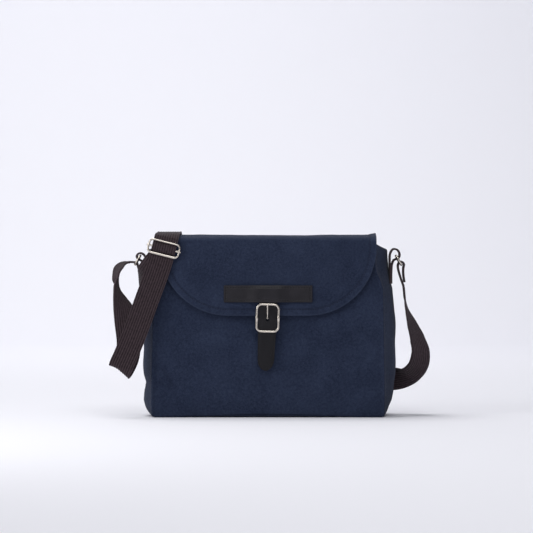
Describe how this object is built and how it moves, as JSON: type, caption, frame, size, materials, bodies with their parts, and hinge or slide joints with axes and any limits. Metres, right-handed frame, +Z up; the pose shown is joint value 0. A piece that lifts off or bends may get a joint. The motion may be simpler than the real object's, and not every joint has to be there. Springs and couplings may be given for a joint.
{
  "type": "messenger bag",
  "caption": "Canvas shoulder bag with a gusseted body, a full flap, a buckled leather closing strap on a hidden snap, and a webbing strap on side rings.",
  "frame": {"origin": "middle of the underside of the base, on the surface that the bag stands on", "axes": "+Z up, -Y towards the front with the flap and buckle, +X to the right seen from the front"},
  "size_m": [0.4009, 0.1305, 0.2307],
  "materials": {
    "canvas": "washed navy cotton canvas",
    "lining": "plain cotton twill",
    "board": "matt fibre board",
    "leather": "smooth black leather, edge painted",
    "webbing": "ribbed cotton webbing, dark plum brown",
    "nickel": "satin, warm nickel",
    "steel": "plain nickel"
  },
  "bodies": {
    "body": {"front_panel": "canvas", "back_panel": "canvas", "left_gusset": "canvas", "right_gusset": "canvas", "bottom_panel": "canvas", "base_board": "board", "lining_base": "lining", "lining_front": "lining", "lining_back": "lining", "lining_left": "lining", "lining_right": "lining", "slip_pocket": "lining", "snap_socket": "steel", "snap_washer": "steel", "left_tab": "webbing", "right_tab": "webbing", "strap_back_run": "webbing", "strap_left_loop": "webbing", "strap_left_bight": "webbing", "strap_inner_run": "webbing"},
    "flap_top": {"flap_top_canvas": "canvas", "flap_top_lining": "lining"},
    "flap_front": {"flap_front_canvas": "canvas", "flap_front_lining": "lining", "leather_plate": "leather", "closure_strap": "leather", "buckle_frame": "nickel"},
    "strap_tip": {"closure_tip": "leather", "snap_stud": "steel"},
    "tongue": {"buckle_tongue": "nickel"},
    "ring_left": {"left_ring": "nickel"},
    "ring_right": {"right_ring": "nickel", "strap_right_end": "webbing"},
    "strap_over": {"strap_over_flap": "webbing", "strap_slider_wrap": "webbing", "strap_diagonal": "webbing", "slider_frame": "nickel", "slider_bar": "nickel"}
  },
  "joints": [
    {"name": "flap_open", "type": "hinge", "parent": "body", "child": "flap_top", "pos_m": [0, 0.0438, 0.2175], "axis": [-1, 0, 0], "range_deg": [0, 180]},
    {"name": "flap_fold", "type": "hinge", "parent": "flap_top", "child": "flap_front", "pos_m": [0, -0.05012, 0.2169], "axis": [-1, 0, 0], "range_deg": [0, 90]},
    {"name": "strap_tip_lift", "type": "hinge", "parent": "flap_front", "child": "strap_tip", "pos_m": [0, -0.05401, 0.10385], "axis": [-1, 0, 0], "range_deg": [0, 60]},
    {"name": "tongue_lift", "type": "hinge", "parent": "flap_front", "child": "tongue", "pos_m": [0, -0.05051, 0.123], "axis": [1, 0, 0], "range_deg": [0, 35]},
    {"name": "left_ring_swing", "type": "hinge", "parent": "body", "child": "ring_left", "pos_m": [-0.1601, 0, 0.1997], "axis": [0, 1, 0], "range_deg": [-12, 20]},
    {"name": "right_ring_swing", "type": "hinge", "parent": "body", "child": "ring_right", "pos_m": [0.1601, 0, 0.1997], "axis": [0, -1, 0], "range_deg": [-12, 25]},
    {"name": "strap_aside", "type": "hinge", "parent": "body", "child": "strap_over", "pos_m": [-0.181, -0.063, 0.06], "axis": [0, -1, 0], "range_deg": [0, 40], "deforming": ["strap_over_flap", "strap_slider_wrap", "strap_diagonal", "strap_left_loop", "strap_left_bight", "strap_inner_run", "strap_back_run", "slider_frame", "slider_bar"]}
  ],
  "couplings": [
    {"joint": "flap_fold", "follows": "flap_open", "ratio": 0.5},
    {"joint": "strap_aside", "follows": "flap_open", "ratio": 0.22222}
  ]
}
